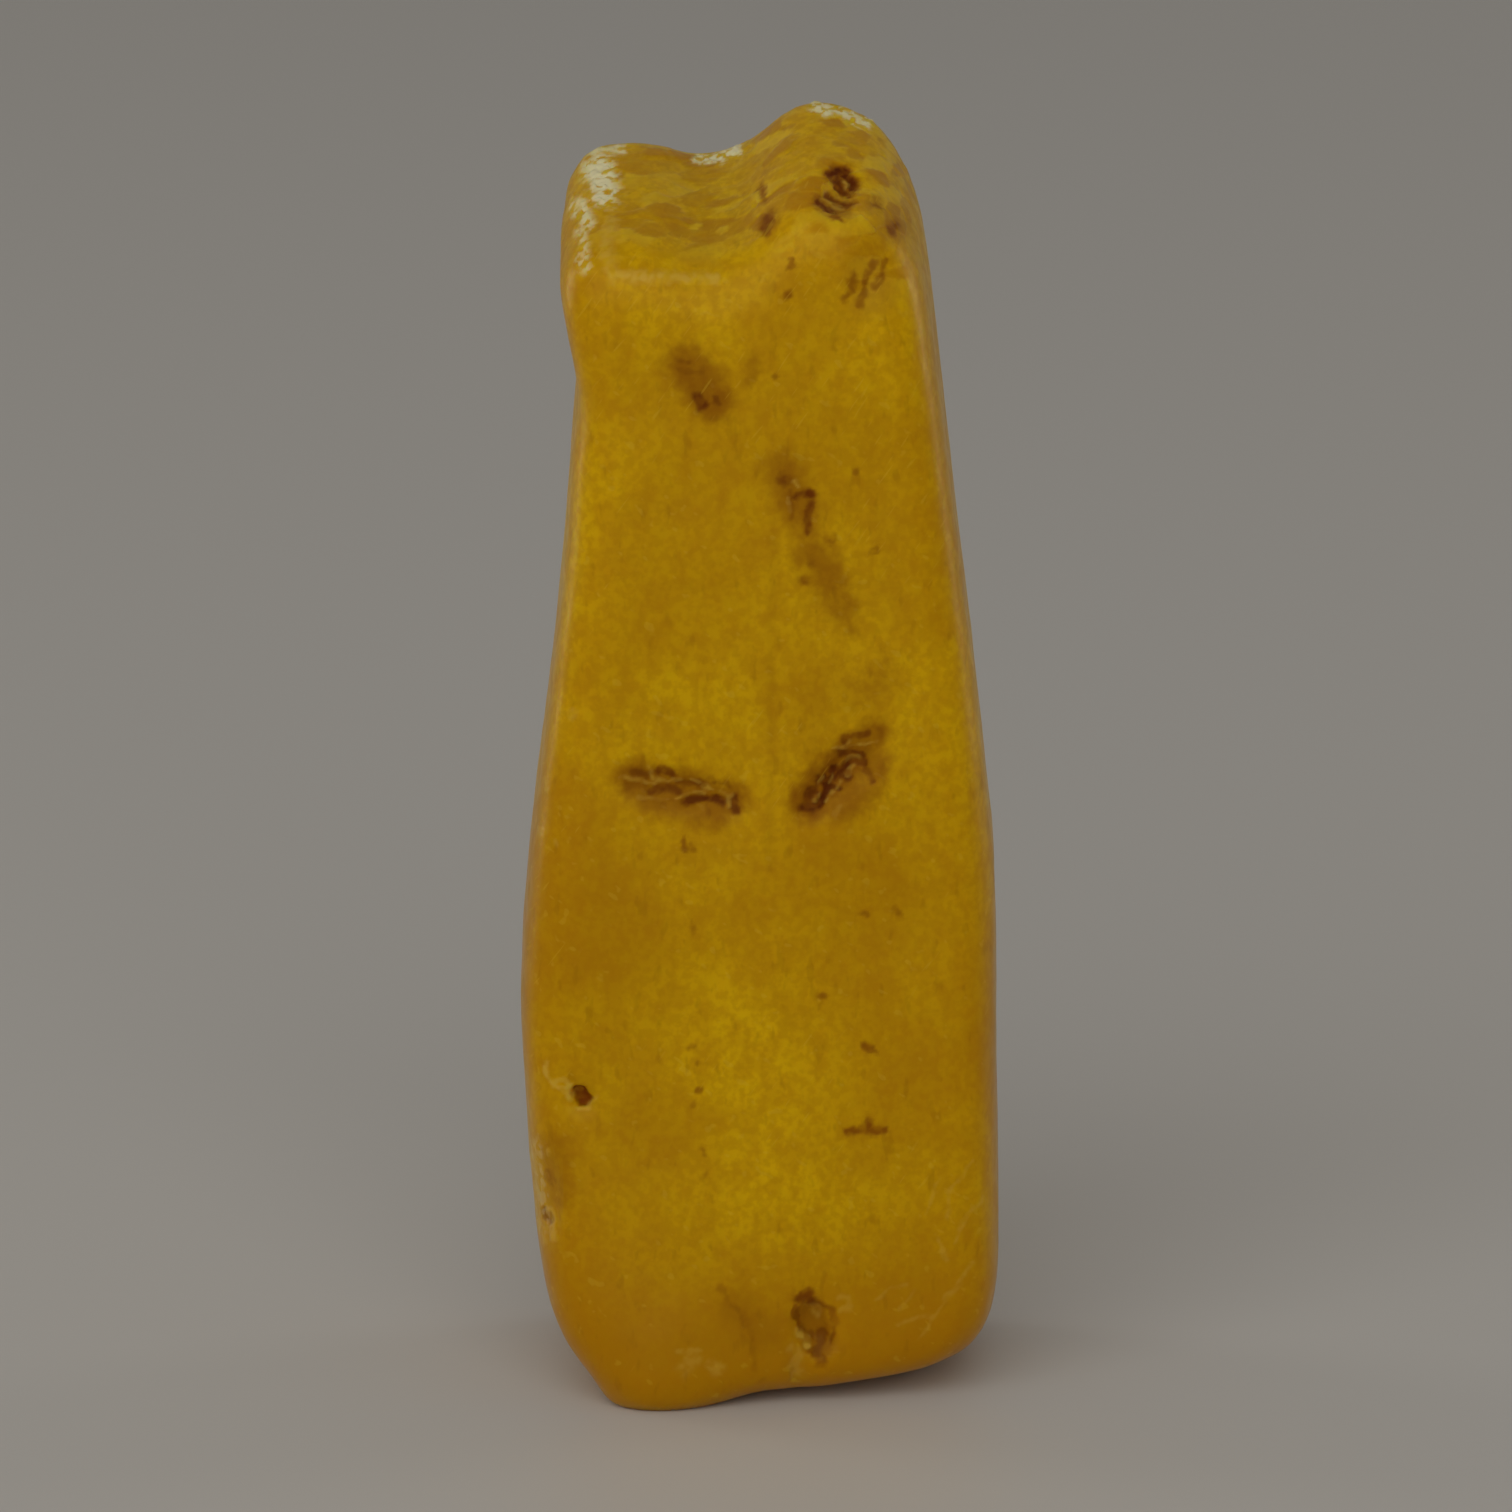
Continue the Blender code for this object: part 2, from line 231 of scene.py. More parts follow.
# Pale lines and chips where the surface is broken, partly real pale breaks and partly painted
# highlights and glints where it would throw the light back
PALES_AND_GLINTS = [
    # Glints in the pit in the top
    Mark([(2.02, 28.74), (2.10, 28.66)], 0.05, 0.50, 0.7, -0.01),
    Mark([(1.50, 28.34), (1.96, 28.10)], 0.04, 0.38, 0.7, -0.01),
    Mark([(1.86, 28.34), (2.14, 28.26)], 0.04, 0.22, 0.7, -0.01),
    Mark([(2.20, 27.95), (2.70, 28.05)], 0.12, 0.19, 0.9),
    # The upper crack
    Mark([(0.86, 21.42), (0.90, 21.28)], 0.06, 0.50, 0.7),
    Mark([(0.67, 21.02), (0.70, 20.68)], 0.05, 0.37, 0.7),
    # The left fissure
    Mark([(-2.74, 14.46), (-2.60, 14.22), (-2.23, 14.09)], 0.05, 0.38, 0.7, -0.01),
    Mark([(-2.18, 14.10), (-1.98, 14.17)], 0.05, 0.34, 0.7, -0.01),
    Mark([(-1.72, 14.18), (-1.50, 14.12)], 0.04, 0.31, 0.7, -0.01),
    Mark([(-3.40, 14.20), (-2.94, 14.12), (-2.60, 14.10)], 0.04, 0.31, 0.7, -0.01),
    Mark([(-2.12, 13.70), (-1.72, 13.84), (-1.33, 13.86)], 0.04, 0.36, 0.7, -0.01),
    Mark([(-1.42, 14.06), (-1.16, 13.90)], 0.05, 0.42, 0.7, -0.01),
    Mark([(-1.00, 13.86), (-0.74, 13.77)], 0.05, 0.38, 0.7, -0.01),
    Mark([(-0.82, 13.78), (-0.76, 13.50)], 0.04, 0.34, 0.7, -0.01),
    Mark([(-2.95, 13.72), (-2.30, 13.66)], 0.04, 0.22, 0.8),
    # The right fissure
    Mark([(1.30, 13.68), (1.44, 13.84)], 0.04, 0.32, 0.7, -0.01),
    Mark([(1.62, 13.62), (1.76, 13.86)], 0.04, 0.40, 0.7, -0.01),
    Mark([(1.84, 13.96), (1.98, 14.12)], 0.04, 0.34, 0.7, -0.01),
    Mark([(1.40, 14.06), (1.50, 14.18)], 0.04, 0.28, 0.7, -0.01),
    Mark([(1.68, 14.10), (1.78, 14.24)], 0.04, 0.32, 0.7, -0.01),
    Mark([(2.10, 14.26), (2.30, 14.46)], 0.04, 0.32, 0.7, -0.01),
    Mark([(1.94, 14.50), (2.12, 14.64), (2.36, 14.68)], 0.04, 0.26, 0.7, -0.01),
    Mark([(1.74, 14.94), (2.18, 14.96), (2.87, 15.08)], 0.04, 0.46, 0.7, -0.01),
    Mark([(2.12, 14.94), (2.20, 15.10)], 0.05, 0.37, 0.7, -0.01),
    Mark([(1.82, 13.34), (1.98, 13.50)], 0.04, 0.16, 0.7),
    # A glint in the pit in the foot
    Mark([(1.30, 1.22), (1.36, 1.14)], 0.11, 0.30, 0.8),
    # The rim of the pit on the left edge
    Mark(
        [(-5.26, 7.20), (-5.16, 6.90), (-4.99, 6.68), (-4.79, 6.61), (-4.65, 6.73)],
        0.06, 0.75, 0.7, -0.01,
    ),
    Mark([(-4.65, 6.73), (-4.79, 6.90), (-4.98, 6.84), (-5.04, 6.66)], 0.05, 0.60, 0.7, -0.01),
    Mark([(-4.68, 6.74), (-4.64, 6.34)], 0.06, 0.75, 0.7, -0.01),
    Mark([(-4.44, 6.08), (-4.18, 6.10), (-4.06, 6.42)], 0.05, 0.62, 0.7, -0.01),
    # Chips on the left edge, with painted highlights on them
    Mark([(-5.65, 5.20), (-5.62, 4.98)], 0.08, 0.71, 0.7, -0.01),
    Mark([(-5.21, 5.12), (-5.18, 5.00)], 0.05, 0.45, 0.7, -0.01),
    Mark([(-5.14, 3.66), (-5.04, 3.30), (-4.99, 2.93)], 0.06, 0.49, 0.7, -0.02),
    Mark([(-5.43, 3.37), (-5.30, 2.88)], 0.09, 0.45, 0.8, -0.01),
    Mark([(-4.60, 15.80)], 0.12, 0.45, 0.7, -0.01),
    Mark([(-5.26, 14.15), (-5.24, 13.95)], 0.09, 0.49, 0.7, -0.01),
    Mark([(-5.38, 12.93), (-5.36, 12.80)], 0.08, 0.45, 0.7, -0.01),
    Mark([(-4.95, 12.60)], 0.06, 0.30, 0.8),
    # Broken places at the foot, with painted highlights in them
    Mark([(0.89, 0.75), (1.02, 0.62)], 0.09, 0.68, 0.7, -0.01),
    Mark([(1.08, 0.60), (1.18, 0.40)], 0.08, 0.68, 0.7, -0.01),
    Mark([(0.85, 0.30), (0.90, -0.35)], 0.16, 0.38, 0.7, 0.02),
    Mark([(-1.86, -0.15), (-1.62, 0.05)], 0.16, 0.34, 0.8),
    Mark([(-1.18, -0.17), (-1.02, -0.24)], 0.13, 0.38, 0.8),
    Mark([(-2.06, 0.20), (-1.48, 0.22)], 0.05, 0.30, 0.8),
    # Painted highlights on the notch and the crest
    Mark([(-1.40, 29.37), (-1.09, 29.40), (-0.74, 29.56)], 0.11, 0.75, 0.7, 0.01),
    Mark([(1.50, 30.58), (1.94, 30.50), (2.50, 30.28)], 0.10, 0.38, 0.8, 0.01),
    # A painted highlight along the crease below the top
    Mark([(-3.62, 26.46), (-2.70, 26.41), (-1.09, 26.42)], 0.11, 0.95, 0.9, -0.02),
    Mark([(-3.62, 27.76), (-3.77, 27.07), (-3.60, 26.46)], 0.15, 0.72, 0.9, -0.02),
    # Scratches low on the right
    Mark([(4.33, 2.98), (4.57, 2.39)], 0.04, 0.30, 0.8),
    Mark([(3.89, 0.49), (4.50, 1.46), (4.91, 1.83)], 0.04, 0.26, 0.8),
    Mark([(5.23, 4.88), (4.62, 4.15), (4.50, 3.54)], 0.04, 0.26, 0.8),
    Mark([(3.40, 1.22), (3.77, 1.71)], 0.04, 0.22, 0.8),
    Mark([(5.46, 3.96), (5.02, 3.50), (4.71, 2.84)], 0.04, 0.32, 0.8),
    Mark([(4.34, 4.46), (4.20, 4.00), (4.03, 3.59)], 0.04, 0.28, 0.8),
    Mark([(5.15, 2.34), (4.80, 1.80), (4.46, 1.47)], 0.05, 0.32, 0.8),
    Mark([(2.84, 1.47), (3.20, 1.78), (3.59, 1.84)], 0.04, 0.26, 0.8),
    Mark([(3.34, 0.85), (3.80, 1.05), (4.21, 1.10)], 0.04, 0.28, 0.8),
    Mark([(1.86, 1.50), (2.18, 1.52), (2.22, 1.22), (1.94, 1.20)], 0.05, 0.30, 0.8),
    # A painted highlight along the edge of the corner at the top left
    Mark([(-3.96, 29.56), (-3.43, 29.54)], 0.12, 0.34, 0.8),
]

# Crumbled places, painted paler and with painted sparkles that stand for highlights: the corner at the
# top left, the crest, the notch and the left edge
CRUMBS_AND_GLINTS = [
    Mark([(-3.96, 29.05), (-3.80, 28.48)], 0.36, 1.00, 0.6),
    Mark([(-4.10, 29.50), (-3.40, 29.54)], 0.13, 0.75, 0.8),
    Mark([(-4.42, 28.12), (-4.22, 27.75)], 0.20, 0.80, 0.8),
    Mark([(-4.38, 27.50), (-4.28, 26.60)], 0.15, 0.55, 0.9),
    Mark([(1.35, 30.58), (2.00, 30.44), (2.60, 30.18)], 0.15, 0.90, 0.7),
    Mark([(-1.44, 29.30), (-1.00, 29.36), (-0.60, 29.54)], 0.14, 1.00, 0.7),
    Mark([(-5.46, 5.20), (-5.36, 3.20)], 0.16, 0.22, 0.8),
]

# Each facet leans and steps by chance. Neighbours are read this far apart, so that they differ
FACET_APART = 3.7
FACET_LEAN = 1.6
FACET_STEP = 0.6

# Facets of the crumbled places. Those above this span get a painted sparkle highlight, and more of
# them do in the middle
CRUMB_SIZE = 0.17
CRUMB_HEIGHT = 0.06
SPARKLE_FROM = (-0.22, 0.10)
SPARKLE_GATHER = 0.35

# The top and the upper corners are chipped into small flats
CHIPS = [
    Mark([(-3.20, 28.40), (0.40, 28.60)], 1.50, 1.00, 0.5),
    Mark([(0.80, 28.90), (2.20, 29.20)], 1.70, 1.00, 0.5),
    Mark([(2.90, 27.60), (3.00, 26.60)], 0.90, 0.60, 0.8),
]
CHIP_SIZE = 0.46
CHIP_HEIGHT = 0.035
CHIP_STRETCH = (1.9, 1.2, 0.9)
CHIP_TURN = math.radians(12)
CHIP_DRIFT = 0.12
CHIP_DRIFT_SIZE = 0.40

# Painted light and shade on the chips, by how each leans: some are painted in shade, deeper in colour,
# and some are painted lit, and so are the seams between them
SHADED_BELOW = (-0.35, 0.0)
SHADED_SHARE = 0.70
LIT_ABOVE = (0.10, 0.22)
LIT_SHARE = 0.45
SEAM_WITHIN = (0.02, 0.16)
LIT_SEAM_SHARE = 0.18

# The mesh is cut finer within these distances of these marks, once for each line
MARKS = STAINS + DARKS + PALES_AND_GLINTS + CRUMBS_AND_GLINTS
FINER = [(0.30, MARKS + CHIPS), (0.12, MARKS)]

# The surface's own relief, as (noise, height). All relief fades in over this span above the foot
RELIEF = [(Drift(1.6, 3.0), 0.020), (Drift(0.55, 3.0), 0.008)]
RELIEF_FROM = (0.02, 0.4)

# A painted glow: the stone is painted yellower low in its middle, as if lit through, and above its
# middle, and the flesh round it is yellow in random clouds
GLOW_ACROSS = 0.55
GLOW_UP = 7.6
GLOW_SIZE = (2.3, 5.6)
GLOW_SHARE = 0.85
UPPER_UP = (12.0, 19.0)
UPPER_SHARE = 0.50
CLOUD_DRIFT = Drift(3.5, 13.0)
CLOUD_SPAN = (-0.28, 0.32)
CLOUD_SHARE = 0.46

# The orange foot, and the worn places that are scratched
FOOT_UP = (0.5, 6.0)
FOOT_SHARE = 0.8
WORN_DRIFT = Drift(5.0, 83.0)
WORN_SPAN = (-0.04, 0.24)

# The colours of the flesh, and of what is mixed into it
YELLOW = (0.860, 0.550, 0.0010, 1)
GOLD = (0.640, 0.335, 0.0008, 1)
ORANGE = (0.560, 0.250, 0.0006, 1)
FLECK = (0.400, 0.160, 0.0006, 1)
STRAW = (0.900, 0.640, 0.0300, 1)

# The tints that stains and dark marks are seen through, the colour of broken places and of painted
# glints, that of painted sparkles, and how much paler crumbled places are painted, partly as
# highlights
BROWN = (0.62, 0.44, 0.50, 1)
DARK = (0.56, 0.33, 0.50, 1)
PALE_AND_GLINT = (0.80, 0.52, 0.06, 1)
SPARKLE = (1.00, 0.94, 0.58, 1)
FROST_AND_HIGHLIGHT_SHARE = 0.65


class Pattern(NamedTuple):
    """Noise in the flesh: its size, the span it is spread over, how much it shows, and its course.

    Stretch is how much longer it is along each axis, and turn is about the depth, in degrees.
    """

    size: float
    span: tuple
    share: float
    detail: float
    shift: float
    stretch: tuple = (1, 1, 1)
    turn: float = 0.0


PATCHES = Pattern(0.50, (0.40, 0.62), 0.32, 2.0, 0.031, (1, 1, 1.4))
GRAIN = Pattern(0.20, (0.36, 0.64), 0.38, 2.0, 0.057)
FLECKS = Pattern(0.30, (0.60, 0.74), 0.30, 2.0, 0.043, (1, 1, 2.2))
SPECKS = Pattern(0.24, (0.66, 0.74), 0.20, 1.0, 0.019, (1.5, 1, 1), 35)
SCRATCHES = Pattern(0.09, (0.68, 0.76), 0.22, 1.0, 0.071, (1, 8, 9), 35)

# The satin polish: its roughness, what patches and marks add to it, and its fine bump
ROUGHNESS = 0.30
PATCH_ROUGHNESS = 0.08
MARK_ROUGHNESS = 0.35
BUMP_STRENGTH = 0.20
BUMP_HEIGHT = 0.01
SPECULAR_LEVEL = 0.25
SPECULAR_TINT = (1.0, 0.70, 0.20, 1)

# How light goes into cloudy amber: most of it is scattered, but less so at the marks
IOR = 1.54
TRANSMISSION = 0.20
SCATTERING = 0.6
SCATTERING_LOST = 0.55
SCATTERING_RADIUS = (1.0, 0.45, 0.05)
SCATTERING_REACH = 1.5
ABSORPTION_COLOUR = (1.0, 0.70, 0.05, 1)
ABSORPTION_DENSITY = 120.0

# A plain pale floor and a soft room, in metres
FLOOR_SIZE = 3.0
FLOOR_COLOUR = (0.62, 0.61, 0.59, 1.0)
FLOOR_ROUGHNESS = 0.55
WORLD_COLOUR = (0.86, 0.82, 0.76, 1.0)
WORLD_STRENGTH = 0.24


class Lamp(NamedTuple):
    """A soft light that is turned to the stone, in metres and watts."""

    name: str
    place: tuple
    size: tuple
    power: float
    colour: tuple


LAMPS = [
    Lamp("key", (-0.06, -0.26, 0.19), (0.42, 0.32), 0.52, (1.0, 0.97, 0.92)),
    Lamp("left", (-0.25, 0.10, 0.05), (0.08, 0.14), 0.10, (1.0, 0.95, 0.88)),
    Lamp("right", (0.25, 0.10, 0.05), (0.08, 0.14), 0.08, (1.0, 0.95, 0.88)),
]


def seen(points):
    """Where points of the stone are seen: across and up, on the plane through its middle."""
    gap = points - np.array(STONE_MIDDLE)
    depth = CAMERA_DISTANCE + gap @ np.array(TOWARDS_STONE)
    nearness = CAMERA_DISTANCE / depth
    across = gap[:, 0] * nearness
    up = gap @ np.array(PICTURE_UP) * nearness + ORIGIN_UP
    return np.stack([across, up], axis=1)


def stroke_distance(spots, points):
    """How far each spot is from the stroke's middle line."""
    points = np.array(points)
    if len(points) == 1:
        return np.hypot(*(spots - points[0]).T)
    gaps = []
    for start, end in zip(points[:-1], points[1:]):
        along = end - start
        share = np.clip((spots - start) @ along / (along @ along), 0, 1)
        gaps.append(np.hypot(*(spots - start - share[:, None] * along).T))
    return np.min(gaps, axis=0)


def smooth_step(low, high, value):
    """How far the value is from low to high, from 0 to 1, with soft ends."""
    share = np.clip((value - low) / (high - low), 0, 1)
    return share * share * (3 - 2 * share)


def noise_at(points, drift):
    """Smooth noise from -1 to 1 at each point."""
    shift = Vector((drift.shift, 0, 0))
    return np.array([noise.noise(Vector(point) / drift.size + shift) for point in points])


def cover(spots, wander, mark):
    """How much of the mark's colour each spot takes, from 0 to 1."""
    gap = stroke_distance(spots, mark.points) + wander * min(1.0, mark.half_width / EDGE_WANDER)
    inner = mark.half_width * (1 - mark.soft)
    outer = mark.half_width * (1 + mark.soft)
    return 1 - smooth_step(inner, outer, gap)


def mesh_from(form, name):
    """A mesh made of the form, which is used up."""
    mesh = bpy.data.meshes.new(name)
    form.to_mesh(mesh)
    form.free()
    return mesh


def linked(name, data):
    """An object of the data, in the scene."""
    item = bpy.data.objects.new(name, data)
    bpy.context.scene.collection.objects.link(item)
    return item


def even_copy(form):
    """A closed form of small faces of one size that follows another form."""
    mesh = bpy.data.meshes.new("rough_stone")
    form.to_mesh(mesh)
    rough = linked("rough_stone", mesh)
    even = rough.modifiers.new("even", "REMESH")
    even.mode = "VOXEL"
    even.voxel_size = CELL
    bpy.context.view_layer.update()
    graph = bpy.context.evaluated_depsgraph_get()
    copy = bmesh.new()
    copy.from_mesh(rough.evaluated_get(graph).data)
    bpy.data.objects.remove(rough)
    return copy


def round_onto(verts, form):
    """Moves corners to the smooth surface that runs through the form's own corners."""
    form.normal_update()
    form.faces.ensure_lookup_table()
    tree = BVHTree.FromBMesh(form)
    for vert in verts:
        spot, _, index, _ = tree.find_nearest(vert.co)
        corners = form.faces[index].verts
        shares = poly_3d_calc([corner.co for corner in corners], spot)
        swell = Vector()
        for corner, share in zip(corners, shares):
            swell -= corner.normal * (spot - corner.co).dot(corner.normal) * share
        vert.co = spot + swell / 2


def fine_copy(node):
    """A closed mesh of the node in millimetres, of even small faces and with no facets."""
    form = bmesh.new()
    form.from_mesh(node.data)
    form.transform(Matrix.Scale(1 / MM, 4))
    bmesh.ops.remove_doubles(form, verts=form.verts[:], dist=MERGE_WITHIN)
    fine = even_copy(form)
    round_onto(fine.verts, form)
    form.free()
    for _ in range(SMOOTHINGS):
        bmesh.ops.smooth_vert(
            fine,
            verts=fine.verts[:],
            factor=SMOOTHING,
            use_axis_x=True,
            use_axis_y=True,
            use_axis_z=True,
        )
    return mesh_from(fine, "amber_stone")


def arrays_of(mesh):
    """The corners' places and normals."""
    count = len(mesh.vertices)
    spots = np.empty(count * 3)
    normals = np.empty(count * 3)
    mesh.vertices.foreach_get("co", spots)
    mesh.vertex_normals.foreach_get("vector", normals)
    return spots.reshape(-1, 3), normals.reshape(-1, 3)


def finer_near_marks(mesh):
    """Cuts the faces near the marks smaller, once for each distance."""
    for within, marks in FINER:
        points, normals = arrays_of(mesh)
        spots = seen(points)
        facing = -(normals @ np.array(TOWARDS_STONE)) > FACES_CAMERA
        gap = np.full(len(points), np.inf)
        for mark in marks:
            gap = np.minimum(gap, stroke_distance(spots, mark.points) - mark.half_width)
        close = facing & (gap < within)
        form = bmesh.new()
        form.from_mesh(mesh)
        form.verts.ensure_lookup_table()
        edges = [edge for edge in form.edges if all(close[vert.index] for vert in edge.verts)]
        bmesh.ops.subdivide_edges(form, edges=edges, cuts=1, use_grid_fill=True)
        bmesh.ops.triangulate(form, faces=[face for face in form.faces if len(face.verts) > 4])
        form.to_mesh(mesh)
        form.free()


def facets_at(points, size):
    """Flat facets by chance: each point's height and value, and how near it is to the facet's edge."""
    heights = []
    values = []
    gaps = []
    for point in points:
        place = Vector(point) / size
        distances, nearest = noise.voronoi(place)
        lean = noise.noise_vector(nearest[0] * FACET_APART)
        heights.append(lean.dot(place - nearest[0]) * FACET_LEAN + lean.x * FACET_STEP)
        values.append(lean.y)
        gaps.append(distances[1] - distances[0])
    return np.array(heights), np.array(values), np.array(gaps)


def chip_places(points):
    """Places at which facets come out uneven, long and a little slanting."""
    drift = np.array([noise.noise_vector(Vector(point) / CHIP_DRIFT_SIZE) for point in points])
    turn = np.array(Matrix.Rotation(CHIP_TURN, 3, "Y"))
    return (points + CHIP_DRIFT * drift) @ turn.T / np.array(CHIP_STRETCH)


def break_up(points, shades):
    """Adds the painted sparkles of the crumbled places and the painted light and shade of the chips,
    by how their facets lean, and gives the height of their facets.
    """
    height = np.zeros(len(points))
    for shade in ("sparkle", "deep", "lit"):
        shades[shade] = np.zeros(len(points))
    crumbs_and_glints = shades["crumbs_and_glints"]
    broken = crumbs_and_glints > 0
    facets, values, _ = facets_at(points[broken], CRUMB_SIZE)
    height[broken] += CRUMB_HEIGHT * crumbs_and_glints[broken] * facets
    values += SPARKLE_GATHER * (crumbs_and_glints[broken] - 0.5)
    shades["sparkle"][broken] = crumbs_and_glints[broken] * smooth_step(*SPARKLE_FROM, values)
    chips = shades.pop("chips")
    broken = chips > 0
    facets, values, gaps = facets_at(chip_places(points[broken]), CHIP_SIZE)
    height[broken] += CHIP_HEIGHT * chips[broken] * facets
    # Chips that lean one way are painted in shade, those that lean the other way painted lit, and the
    # seams painted as lit edges
    shades["deep"][broken] = SHADED_SHARE * chips[broken] * (1 - smooth_step(*SHADED_BELOW, values))
    lit_seams = LIT_SEAM_SHARE * (1 - smooth_step(*SEAM_WITHIN, gaps))
    lit = LIT_SHARE * smooth_step(*LIT_ABOVE, values)
    shades["lit"][broken] = chips[broken] * np.maximum(lit, lit_seams)
    return height


def flesh_at(points):
    """How much of the painted glow, yellower low in the stone's middle and above it, and of the random
    yellow clouds each point takes; how orange its foot makes it, and how worn.
    """
    across, _, up = points.T
    gap = ((across - GLOW_ACROSS) / GLOW_SIZE[0]) ** 2 + ((up - GLOW_UP) / GLOW_SIZE[1]) ** 2
    upper = UPPER_SHARE * smooth_step(*UPPER_UP, up)
    glow_and_clouds = GLOW_SHARE * np.maximum(np.exp(-gap), upper)
    glow_and_clouds += CLOUD_SHARE * smooth_step(*CLOUD_SPAN, noise_at(points, CLOUD_DRIFT))
    foot = FOOT_SHARE * (1 - smooth_step(*FOOT_UP, up))
    worn = smooth_step(*WORN_SPAN, noise_at(points, WORN_DRIFT))
    return {"glow_and_clouds": np.clip(glow_and_clouds, 0, 1), "foot": foot, "worn": worn}


def edge_wander(points):
    """How far the edges of marks are from their places at each point."""
    wander = EDGE_WANDER * noise_at(points, EDGE_DRIFT)
    wander += FINE_EDGE_SHARE * EDGE_WANDER * noise_at(points, FINE_EDGE_DRIFT)
    return wander


def press_marks(points, normals, height):
    """Lowers the height at the marks, and gives how strong each kind of mark is at each point."""
    spots = seen(points)
    for axis, drift in enumerate(COURSE_DRIFTS):
        spots[:, axis] += COURSE_WANDER * noise_at(points, drift)
    facing = smooth_step(0.0, FACES_CAMERA, -(normals @ np.array(TOWARDS_STONE)))
    wander = edge_wander(points)
    kinds = {"brown": STAINS, "dark": DARKS, "pale": PALES_AND_GLINTS, "crumbs_and_glints": CRUMBS_AND_GLINTS, "chips": CHIPS}
    shades = {}
    for shade, marks in kinds.items():
        amount = np.zeros(len(points))
        for mark in marks:
            share = cover(spots, wander, mark) * facing
            amount = np.maximum(amount, share * mark.strength)
            height -= share * mark.depth
        shades[shade] = amount
    breaks = smooth_step(*BREAK_SPAN, noise_at(points, BREAK_DRIFT))
    for shade, share in BREAK_SHARES.items():
        shades[shade] *= 1 - share * (1 - breaks)
    return shades


def mark_stone(mesh):
    """Presses the marks and the relief into the stone, and keeps its shades at each corner."""
    points, normals = arrays_of(mesh)
    height = sum(tall * noise_at(points, drift) for drift, tall in RELIEF)
    shades = press_marks(points, normals, height)
    height += break_up(points, shades)
    shades["firm"] = np.max([shades["sparkle"], shades["dark"], shades["brown"]], axis=0)
    shades.update(flesh_at(points))
    height *= smooth_step(*RELIEF_FROM, points[:, 2])
    points = points + normals * height[:, None]
    points[:, 2] = np.clip(points[:, 2], 0, None)
    mesh.vertices.foreach_set("co", (points * MM).ravel())
    for shade, amount in shades.items():
        layer = mesh.attributes.new(shade, "FLOAT", "POINT")
        layer.data.foreach_set("value", amount)
    mesh.update()


class Nodes:
    """Makes and links shader nodes in few words."""

    def __init__(self, tree):
        self.tree = tree

    def add(self, kind, output=0, settings=None, **inputs):
        """A node of a kind, with its settings and inputs by name, and one of its outputs."""
        node = self.tree.nodes.new(kind)
        for name, value in (settings or {}).items():
            setattr(node, name, value)
        for name, value in inputs.items():
            self.feed(node.inputs[name.replace("_", " ")], value)
        return node.outputs[output]

    def feed(self, socket, value):
        """Links a node's output to the socket, or sets the socket to a plain value."""
        if isinstance(value, bpy.types.NodeSocket):
            self.tree.links.new(value, socket)
        else:
            socket.default_value = value

    def calculate(self, kind, one, other=0.0, third=None):
        """Arithmetic on two or three values."""
        node = self.tree.nodes.new("ShaderNodeMath")
        node.operation = kind
        for socket, value in zip(node.inputs, (one, other, third)):
            if value is not None:
                self.feed(socket, value)
        return node.outputs[0]

    def mix(self, share, one, other, blend="MIX"):
        """One colour turned into another by a share."""
        node = self.tree.nodes.new("ShaderNodeMix")
        node.data_type = "RGBA"
        node.blend_type = blend
        self.feed(node.inputs[0], share)
        self.feed(node.inputs[6], one)
        self.feed(node.inputs[7], other)
        return node.outputs[2]

    def stained(self, share, colour, tint):
        """A colour seen through a tint twice, by a share: the more of it, the redder."""
        for _ in range(2):
            colour = self.mix(share, colour, tint, "MULTIPLY")
        return colour

    def pattern(self, place, pattern):
        """How strong a pattern is, from 0 to 1."""
        spot = self.add(
            "ShaderNodeMapping",
            settings={"vector_type": "TEXTURE"},
            Vector=place,
            Location=(pattern.shift, pattern.shift * 2, pattern.shift * 3),
            Rotation=(0, math.radians(pattern.turn), 0),
            Scale=pattern.stretch,
        )
        scale = 1 / (pattern.size * MM)
        waves = self.add("ShaderNodeTexNoise", Vector=spot, Scale=scale, Detail=pattern.detail)
        return self.add(
            "ShaderNodeMapRange",
            settings={"interpolation_type": "SMOOTHSTEP"},
            Value=waves,
            From_Min=pattern.span[0],
            From_Max=pattern.span[1],
        )

    def shade(self, name):
        """A shade that the mesh keeps for each corner."""
        return self.add("ShaderNodeAttribute", "Fac", {"attribute_name": name})


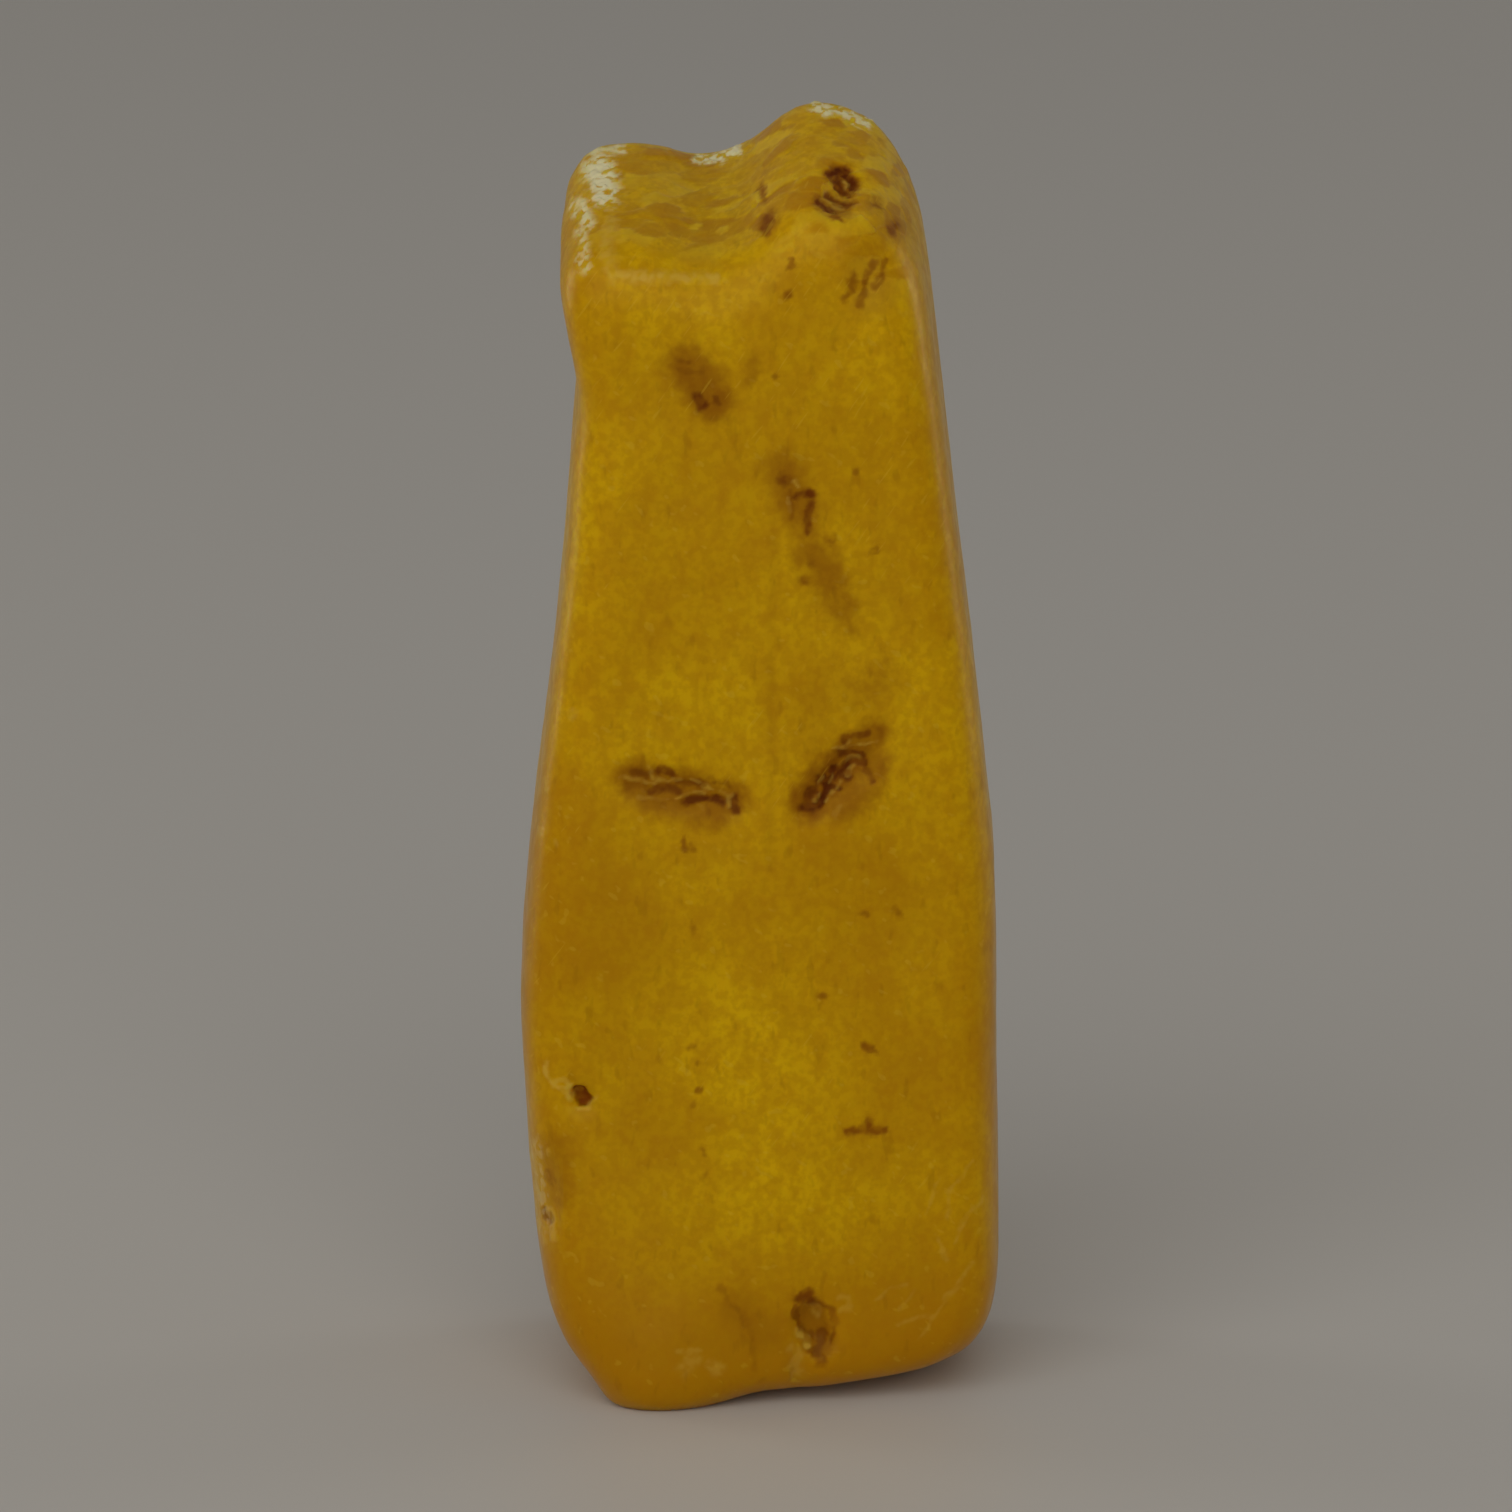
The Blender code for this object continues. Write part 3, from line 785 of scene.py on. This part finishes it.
def amber_colour(make, place, patch, grain):
    """The colour of the flesh with its painted glow and its mottling, and with the marks, the painted
    light and highlights, and the scratches on it.
    """
    # A painted glow: yellower low in the middle of the stone and above it, with random yellow clouds
    colour = make.mix(make.shade("glow_and_clouds"), GOLD, YELLOW)
    colour = make.mix(make.shade("foot"), colour, ORANGE)

    # Mottling: patches a little longer than wide, fine grain, brown flecks and straw specks
    mottling = [
        (patch, PATCHES.share, ORANGE),
        (grain, GRAIN.share, ORANGE),
        (make.pattern(place, FLECKS), FLECKS.share, FLECK),
        (make.pattern(place, SPECKS), SPECKS.share, STRAW),
    ]
    for amount, share, tone in mottling:
        colour = make.mix(make.calculate("MULTIPLY", amount, share), colour, tone)

    # The chipped top with its painted light and shade, the marks with their painted highlights, and
    # the crumbled places, painted paler and with painted sparkles
    colour = make.mix(make.shade("deep"), colour, ORANGE)
    colour = make.mix(make.shade("lit"), colour, STRAW)
    colour = make.stained(make.shade("brown"), colour, BROWN)
    colour = make.stained(make.shade("dark"), colour, DARK)
    colour = make.mix(make.shade("pale"), colour, PALE_AND_GLINT)
    frost_and_highlight = make.calculate("MULTIPLY", make.shade("crumbs_and_glints"), FROST_AND_HIGHLIGHT_SHARE)
    colour = make.mix(frost_and_highlight, colour, STRAW)
    colour = make.mix(make.shade("sparkle"), colour, SPARKLE)

    # A few slanting scratches where the stone is worn
    scratch = make.calculate("MULTIPLY", make.pattern(place, SCRATCHES), make.shade("worn"))
    return make.mix(make.calculate("MULTIPLY", scratch, SCRATCHES.share), colour, STRAW)


def amber_material():
    """Cloudy amber under a satin polish."""
    material = bpy.data.materials.new("amber_stone")
    material.use_nodes = True
    tree = material.node_tree
    make = Nodes(tree)
    place = make.add("ShaderNodeTexCoord", "Object")
    patch = make.pattern(place, PATCHES)
    grain = make.pattern(place, GRAIN)
    firm = make.shade("firm")
    rough = make.calculate("MULTIPLY_ADD", patch, PATCH_ROUGHNESS, ROUGHNESS)
    looks = {
        "Base Color": amber_colour(make, place, patch, grain),
        "Roughness": make.calculate("MULTIPLY_ADD", firm, MARK_ROUGHNESS, rough),
        "Normal": make.add(
            "ShaderNodeBump", Strength=BUMP_STRENGTH, Distance=BUMP_HEIGHT * MM, Height=grain
        ),
        "Specular IOR Level": SPECULAR_LEVEL,
        "Specular Tint": SPECULAR_TINT,
        "IOR": IOR,
        "Transmission Weight": TRANSMISSION,
        "Subsurface Weight": make.calculate("MULTIPLY_ADD", firm, -SCATTERING_LOST, SCATTERING),
        "Subsurface Radius": SCATTERING_RADIUS,
        "Subsurface Scale": SCATTERING_REACH * MM,
    }
    shader = tree.nodes["Principled BSDF"]
    for name, value in looks.items():
        make.feed(shader.inputs[name], value)
    absorb = make.add(
        "ShaderNodeVolumeAbsorption", Color=ABSORPTION_COLOUR, Density=ABSORPTION_DENSITY
    )
    tree.links.new(absorb, tree.nodes["Material Output"].inputs["Volume"])
    return material


def dress_stone(node):
    """The stone as it is seen, in place of its plain solid."""
    mesh = fine_copy(node)
    finer_near_marks(mesh)
    mark_stone(mesh)
    mesh.shade_smooth()
    mesh.materials.append(amber_material())
    stone = linked("amber_stone", mesh)
    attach(stone, "root")
    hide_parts("amber")


def lay_floor():
    """A plain pale floor that runs far back."""
    form = bmesh.new()
    bmesh.ops.create_grid(form, x_segments=1, y_segments=1, size=FLOOR_SIZE / 2)
    floor = linked("floor", mesh_from(form, "floor"))
    material = bpy.data.materials.new("floor")
    material.use_nodes = True
    shader = material.node_tree.nodes["Principled BSDF"]
    shader.inputs["Base Color"].default_value = FLOOR_COLOUR
    shader.inputs["Roughness"].default_value = FLOOR_ROUGHNESS
    floor.data.materials.append(material)


def light_scene():
    """A dim soft room, and the lamps."""
    world = bpy.data.worlds.new("soft_room")
    world.use_nodes = True
    background = world.node_tree.nodes["Background"]
    background.inputs["Color"].default_value = WORLD_COLOUR
    background.inputs["Strength"].default_value = WORLD_STRENGTH
    bpy.context.scene.world = world
    bpy.context.scene.view_settings.view_transform = "Standard"
    for lamp in LAMPS:
        light = bpy.data.lights.new(lamp.name, "AREA")
        light.shape = "RECTANGLE"
        light.size, light.size_y = lamp.size
        light.energy = lamp.power
        light.color = lamp.colour
        item = linked(lamp.name, light)
        item.location = lamp.place
        aim = STONE_MIDDLE * MM - Vector(lamp.place)
        item.rotation_euler = aim.to_track_quat("-Z", "Y").to_euler()


def set_camera():
    """The camera, as far away and as high as it was in the photograph."""
    lens = bpy.data.cameras.new("camera")
    lens.sensor_width = SENSOR_WIDTH
    lens.lens = SENSOR_WIDTH * CAMERA_DISTANCE / PICTURE_WIDTH
    lens.clip_start = CAMERA_NEAREST * MM
    camera = linked("camera", lens)
    aim = STONE_MIDDLE + Vector((AIM_OFFSET[0], 0, 0)) + PICTURE_UP * AIM_OFFSET[1]
    camera.location = (aim - TOWARDS_STONE * CAMERA_DISTANCE) * MM
    camera.rotation_euler = TOWARDS_STONE.to_track_quat("-Z", "Y").to_euler()
    bpy.context.scene.camera = camera


noise.seed_set(NOISE_SEED)
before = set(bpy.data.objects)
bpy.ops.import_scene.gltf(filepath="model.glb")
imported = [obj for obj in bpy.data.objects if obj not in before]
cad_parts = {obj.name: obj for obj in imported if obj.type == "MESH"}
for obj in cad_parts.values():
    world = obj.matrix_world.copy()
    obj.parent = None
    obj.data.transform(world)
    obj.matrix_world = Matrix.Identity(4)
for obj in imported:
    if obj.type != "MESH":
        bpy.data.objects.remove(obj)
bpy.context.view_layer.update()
set_camera()
light_scene()
lay_floor()
dress_stone(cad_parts["amber"])
